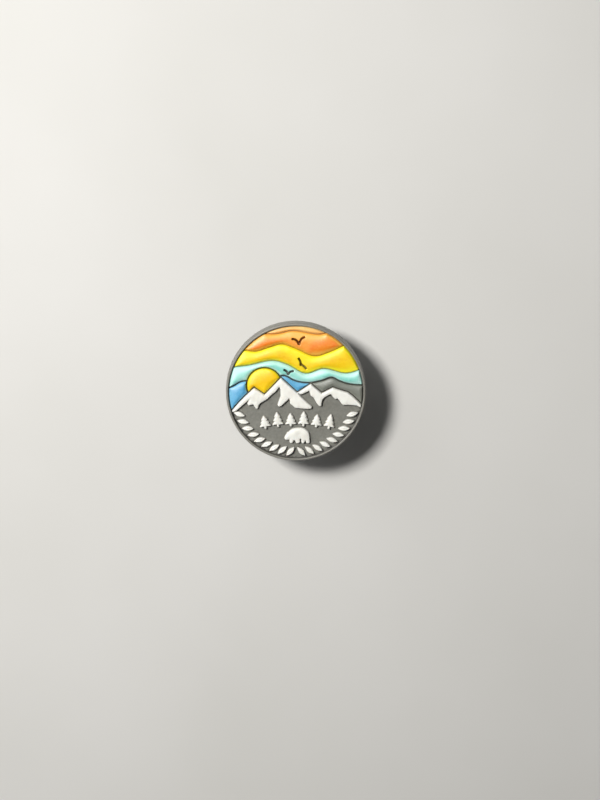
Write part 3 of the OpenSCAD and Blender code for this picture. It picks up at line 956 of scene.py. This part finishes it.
# ---------------- pin
SHEET_EDGE = 0.04         # the rounding of sheet metal's edges
POST_R = 0.57
HEAD_R = 1.3              # the post's weld head, and its fillet to the post
HEAD_Z = 0.05
HEAD_FILLET = 0.3
NECKS = (-3.5, -5.0)      # middles of the two necks
NECK_R = POST_R - 0.12
NECK_HALF = 0.25          # half a neck's length at its bottom, and the slope beside it
NECK_SLOPE = 0.12
NECK_EDGE = 0.06
POINT_LEN = 1.2           # from the post's shoulder to its tip


def build_plate():
    """The steel disc in the badge's back, with its key holes."""
    plate = add_piece("back_plate", *lathe(rounded([
        (0, PLATE_LOW[2], 0), (PLATE_R, PLATE_LOW[2], 0.05), (PLATE_R, PLATE_HIGH[2], 0.05),
        (0, PLATE_HIGH[2], 0)]), 128), "badge", plate_steel, "plate_steel", ["pin_plate"])
    for at in key_places():
        cut_away(plate, *rod(KEY_R, PLATE_LOW[2] - 1, PLATE_HIGH[2] + 1, at))
    soften_edges(plate, SHEET_EDGE)


def build_post():
    """The post: its head on the plate, its two necks and its point."""
    top = POST_HIGH[2]
    tip = POST_LOW[2]
    outline = [(0, top, 0), (HEAD_R, top, 0.02), (HEAD_R, HEAD_Z, 0.08),
               (POST_R + HEAD_FILLET, HEAD_Z, 0.02), (POST_R, HEAD_Z - HEAD_FILLET, 0.28)]
    for z in NECKS:
        outline += [(POST_R, z + NECK_HALF + NECK_SLOPE, NECK_EDGE),
                    (NECK_R, z + NECK_HALF, NECK_EDGE), (NECK_R, z - NECK_HALF, NECK_EDGE),
                    (POST_R, z - NECK_HALF - NECK_SLOPE, NECK_EDGE)]
    outline += [(POST_R, tip + POINT_LEN, 0.5), (0.3, tip + 0.35, 0.3),
                (0.07, tip + 0.02, 0.05), (0, tip, 0)]
    add_piece("post", *lathe(rounded(outline), 64), "badge", post_steel, "post_steel",
              ["pin_post"])


# ---------------- clutch
SHEET = 0.35              # thickness of the face plate and of the wings
CAP_SHEET = 0.3           # and of the cap, the plate's rim and its tabs
GUIDE_R = 0.78            # the hole for the post, and the funnel that leads into it
GUIDE_DEEP = 0.18
GUIDE_OUT = 0.35
BEAD_R = 3.65             # a pressed line round the face
BEAD_HALF = 0.1
BEAD_DEEP = 0.04
BEAD_EDGE = 0.06
TABS_AT = (45, 135, 225, 315)     # degrees
TAB_HALF = 0.9
TAB_OUT = FLANGE_R + 0.35
TAB_IN = FLANGE_R - 0.6
TAB_PLAY = 0.03
CAP_R = FLANGE_R - 1
CAP_TURN = 0.7            # the rounding at the cap's closed end
WINDOW_IN = 2.2           # the cap's windows: where they begin, their half width and top
WINDOW_OUT = FLANGE_R + 3
WINDOW_HALF = 1.6
WINDOW_TOP = FACE_Z - 2


def build_clutch_plate():
    """The round face plate: a funnel for the post, a turned rim and four crimped tabs."""
    top = FACE_Z
    low = FACE_LOW[2]
    rim_in = FACE_R - CAP_SHEET
    outline = rounded([
        (GUIDE_R, top - GUIDE_DEEP, 0.04), (GUIDE_R + GUIDE_OUT, top, 0.2),
        (BEAD_R - BEAD_HALF, top, BEAD_EDGE), (BEAD_R, top - BEAD_DEEP, BEAD_EDGE),
        (BEAD_R + BEAD_HALF, top, BEAD_EDGE), (FACE_R, top, 0.38), (FACE_R, low, 0.1),
        (rim_in, low, 0.1), (rim_in, top - SHEET, 0.2), (GUIDE_R, top - SHEET, 0.05)], steps=6)
    parts = [lathe(outline, 192)]
    root = top - SHEET + 0.02
    crimp = top - SHEET - CAP_SHEET
    tab = rounded([(TAB_OUT - CAP_SHEET, root, 0), (TAB_OUT, root, 0),
                   (TAB_OUT, crimp - CAP_SHEET, 0.26), (TAB_IN, crimp - CAP_SHEET, 0.1),
                   (TAB_IN, crimp - TAB_PLAY, 0.05),
                   (TAB_OUT - CAP_SHEET, crimp - TAB_PLAY, 0.03)], steps=5)
    half = math.asin(TAB_HALF / FLANGE_R)
    for middle in TABS_AT:
        parts.append(sector(tab, math.radians(middle) - half, math.radians(middle) + half, 14))
    plate = add_piece("clutch_face_plate", *joined(*parts), "clutch", turned_nickel,
                      "nickel_plate", ["clutch_plate"])
    soften_edges(plate, SHEET_EDGE, angle=50)


def build_cap():
    """The drawn cap, with a window on each side for the wings."""
    top = CAP_HIGH[2]
    end = CAP_LOW[2]
    inner = CAP_R - CAP_SHEET
    eye = GUIDE_R + 0.1
    cap = add_piece("clutch_drawn_cap", *lathe(rounded([
        (inner, top, 0.2), (FLANGE_R, top, 0.05), (FLANGE_R, top - CAP_SHEET, 0.05),
        (CAP_R, top - CAP_SHEET, 0.22), (CAP_R, end, CAP_TURN), (eye, end, 0.08),
        (eye, end + CAP_SHEET, 0.05), (inner, end + CAP_SHEET, CAP_TURN - CAP_SHEET)],
        steps=8), 160), "clutch", nickel, "nickel_plate", ["clutch_cap"])
    for side in (-1, 1):
        across = sorted((side * WINDOW_IN, side * WINDOW_OUT))
        cut_away(cap, *block(across, (-WINDOW_HALF, WINDOW_HALF), (end - 1, WINDOW_TOP)))
    soften_edges(cap, 0.05)


# A wing from the side, from its jaw at the post to its tip: x, and z from the face down
WING_LINE = [(0.1, -1.3), (0.6, -1.3), (1.15, -1.35), (1.9, -1.95), (2.75, -2.62),
             (3.6, -3.1), (4.6, -3.95), (5.35, -5.1), (5.65, -5.8), (6.0, -6.24)]
# A wing's half width at each share of its length: its jaw, its stop in the cap's window
# and its neck, then a finger tab with a round end
WING_NECK = [(0.0, 0.95), (0.115, 0.95), (0.15, 1.4), (0.165, 1.4), (0.175, 1.88),
             (0.235, 1.88), (0.25, 1.4), (0.46, 1.4)]
WING_TAB = [(0.5, 1.42), (0.57, 1.7), (0.66, 2.2), (0.76, 2.46), (0.86, 2.42), (0.93, 2.08),
            (0.97, 1.62), (0.99, 1.14), (1.0, 0.6)]
WING_WIDTHS = np.vstack([WING_NECK, smooth_line(WING_TAB)])
WING_EDGE = 0.12
NOTCH_R = 0.62            # the notch in each jaw, which clears the post
# Half of the spring leaf from the side, from its hole out: x, and z from the face down
SPRING_LINE = [(0.9, -0.47), (1.5, -0.62), (2.0, -1.1), (2.35, -1.62)]
SPRING_MIDDLE = (0, -0.44)
SPRING_HALF = 1.2
SPRING_SHEET = 0.15
SPRING_EDGE = 0.04
SPRING_HOLE_R = 0.88


def wing_half_width(at):
    """A wing's half width at a share of its length."""
    return float(np.interp(at, WING_WIDTHS[:, 0], WING_WIDTHS[:, 1]))


def post_way(piece, radius):
    """Cuts the way for the post through a piece of the clutch."""
    cut_away(piece, *rod(radius, FACE_Z - 3, FACE_Z + 1))


def build_wings():
    """The two levers, of which the left one is the right one turned half round."""
    line = smooth_line(WING_LINE, 12) + np.array([0, FACE_Z])
    for side, name in ((1, "wing_right"), (-1, "wing_left")):
        points, faces = strip(line, wing_half_width, SHEET, WING_EDGE)
        points = [(side * x, side * y, z) for x, y, z in points]
        wing = add_piece(f"{name}_lever", points, faces, name, nickel, "nickel_plate", [name])
        post_way(wing, NOTCH_R)
        soften_edges(wing, SHEET_EDGE, angle=50)


def build_spring():
    """The spring leaf that presses on both wings."""
    mirrored = [(-x, z) for x, z in reversed(SPRING_LINE)]
    line = smooth_line(mirrored + [SPRING_MIDDLE] + SPRING_LINE) + np.array([0, FACE_Z])
    points, faces = strip(line, lambda at: SPRING_HALF, SPRING_SHEET, SPRING_EDGE)
    spring = add_piece("clutch_leaf_spring", points, faces, "clutch", spring_steel,
                       "spring_steel", ["clutch_spring"])
    post_way(spring, SPRING_HOLE_R)


# ---------------- stage
FLOOR_HALF = 1200         # half the floor's side
SKY_STRENGTH = 0.07


def build_floor():
    """The pale surface under the badge."""
    s = Shader("pale_floor")
    s.colour(s.mix(s.ramp(s.noise(60, 3.0), 0.3, 0.7), rgb(206, 205, 201), rgb(212, 211, 208)))
    s.set(Roughness=0.9, Specular_IOR_Level=0.1)
    s.clear_from_behind()
    mesh = bpy.data.meshes.new("floor")
    corners = [(x * FLOOR_HALF * MM, y * FLOOR_HALF * MM, GROUND_Z * MM)
               for x, y in ((-1, -1), (1, -1), (1, 1), (-1, 1))]
    mesh.from_pydata(corners, [], [[0, 1, 2, 3]])
    mesh.materials.append(s.material)
    floor = bpy.data.objects.new("floor", mesh)
    bpy.context.collection.objects.link(floor)


def add_light(name, direction, distance, size, power, colour=(1, 1, 1)):
    """A soft square light of size millimetres and power watts, which looks at the badge
    from a direction, distance millimetres away."""
    lamp = bpy.data.lights.new(name, "AREA")
    lamp.size = size * MM
    lamp.energy = power
    lamp.color = colour
    light = bpy.data.objects.new(name, lamp)
    way = Vector(direction).normalized()
    light.location = way * distance * MM
    light.rotation_mode = "QUATERNION"
    light.rotation_quaternion = way.to_track_quat("Z", "Y")
    bpy.context.collection.objects.link(light)


def build_lights():
    """A key light from the picture's upper left, softer ones round it and one from below."""
    add_light("key", (-0.405, 0.361, 0.84), 420, 80, 2.12, (1.0, 0.985, 0.96))
    add_light("window", (-0.8, 0.62, 0.42), 500, 320, 0.5, (0.97, 0.985, 1.0))
    add_light("fill", (0.6, -0.7, 0.6), 500, 420, 0.05, (0.95, 0.97, 1.0))
    add_light("under", (0.35, -0.45, -0.82), 500, 420, 1.1)
    world = bpy.data.worlds.new("studio")
    world.use_nodes = True
    sky = world.node_tree.nodes["Background"]
    sky.inputs["Color"].default_value = (1, 1, 1, 1)
    sky.inputs["Strength"].default_value = SKY_STRENGTH
    bpy.context.scene.world = world


VIEW_TILT = 11.5          # degrees from straight above, towards the picture's top
VIEW_HEIGHT = 154.3       # millimetres that the frame's long side takes in
LENS = 85
AIM = (0.8, -1.75, BADGE_TOP / 2)


def build_camera():
    """The camera, nearly straight above the badge."""
    data = bpy.data.cameras.new("camera")
    data.lens = LENS
    data.clip_start = 0.01
    data.clip_end = 10
    camera = bpy.data.objects.new("camera", data)
    bpy.context.collection.objects.link(camera)
    tilt = math.radians(VIEW_TILT)
    away = Vector((0, math.sin(tilt), math.cos(tilt)))
    distance = VIEW_HEIGHT * LENS / data.sensor_width
    camera.location = (Vector(AIM) + away * distance) * MM
    camera.rotation_euler = (-tilt, 0, 0)
    bpy.context.scene.camera = camera


build_picture()
build_base()
build_plate()
build_post()
build_clutch_plate()
build_cap()
build_wings()
build_spring()
build_floor()
build_lights()
build_camera()
bpy.context.scene.view_settings.view_transform = "Standard"
